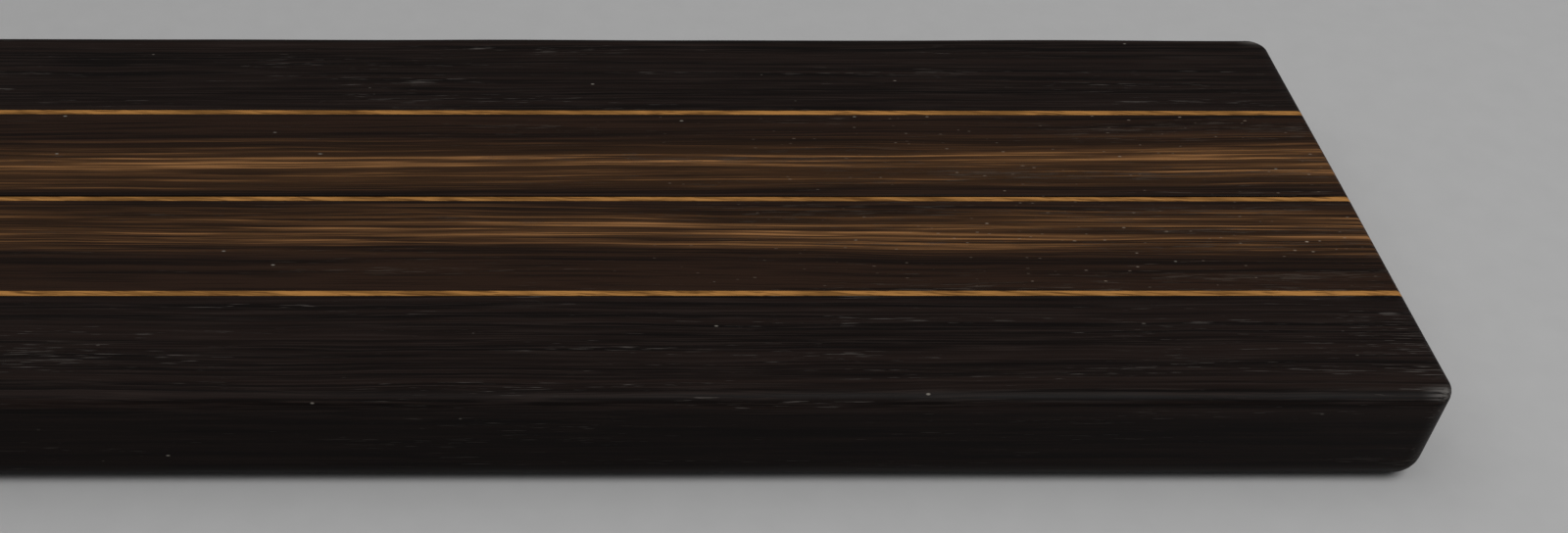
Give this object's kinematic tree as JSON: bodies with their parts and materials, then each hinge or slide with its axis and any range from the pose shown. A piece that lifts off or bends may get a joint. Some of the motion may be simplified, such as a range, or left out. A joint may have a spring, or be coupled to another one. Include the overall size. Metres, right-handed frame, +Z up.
{
  "type": "parallel rulers",
  "caption": "Closed pair of laminated dark hardwood parallel rulers with pale inlaid lines, joined by two brass link arms, with a brass finger knob on each blade.",
  "frame": {"origin": "centre of the closed pair on the plane of its underside", "axes": "+X along the blades, +Y across them from the near blade to the far blade, +Z up out of the top faces"},
  "size_m": [0.4572, 0.048, 0.0185],
  "materials": {
    "dark_wood": "satin, hand-rubbed near-black hardwood with fine open pores",
    "figured_wood": "satin dark hardwood with lighter brown streaks along the grain",
    "pale_wood": "satin golden veneer line",
    "brass": "turned brass, lightly aged, satin"
  },
  "bodies": {
    "near_blade": {"near_outer_strip": "dark_wood", "near_line_strip": "pale_wood", "near_figured_strip": "figured_wood", "centre_line_strip": "pale_wood", "near_left_pivot_bush": "brass", "near_left_pivot_washer": "brass", "near_left_pivot_screw": "brass", "near_left_pivot_nut": "brass", "near_right_pivot_bush": "brass", "near_right_pivot_washer": "brass", "near_right_pivot_screw": "brass", "near_right_pivot_nut": "brass", "near_knob": "brass", "near_knob_nut": "brass"},
    "far_blade": {"far_outer_strip": "dark_wood", "far_line_strip": "pale_wood", "far_figured_strip": "figured_wood", "far_left_pivot_bush": "brass", "far_left_pivot_washer": "brass", "far_left_pivot_screw": "brass", "far_left_pivot_nut": "brass", "far_right_pivot_bush": "brass", "far_right_pivot_washer": "brass", "far_right_pivot_screw": "brass", "far_right_pivot_nut": "brass", "far_knob": "brass", "far_knob_nut": "brass"},
    "left_link": {"left_link_arm": "brass"},
    "right_link": {"right_link_arm": "brass"}
  },
  "joints": [
    {"name": "right_link_swing", "type": "hinge", "parent": "near_blade", "child": "right_link", "pos_m": [0.04126, -0.01816, 0.0103], "axis": [0, 0, 1], "range_deg": [0, 115.4]},
    {"name": "left_link_swing", "type": "hinge", "parent": "near_blade", "child": "left_link", "pos_m": [-0.09874, -0.01816, 0.0103], "axis": [0, 0, 1], "range_deg": [0, 115.4]},
    {"name": "far_blade_swing", "type": "hinge", "parent": "right_link", "child": "far_blade", "pos_m": [0.09874, 0.01816, 0.0103], "axis": [0, 0, 1], "range_deg": [-115.4, 0]}
  ],
  "couplings": [
    {"joint": "left_link_swing", "follows": "right_link_swing", "ratio": 1},
    {"joint": "far_blade_swing", "follows": "right_link_swing", "ratio": -1}
  ]
}
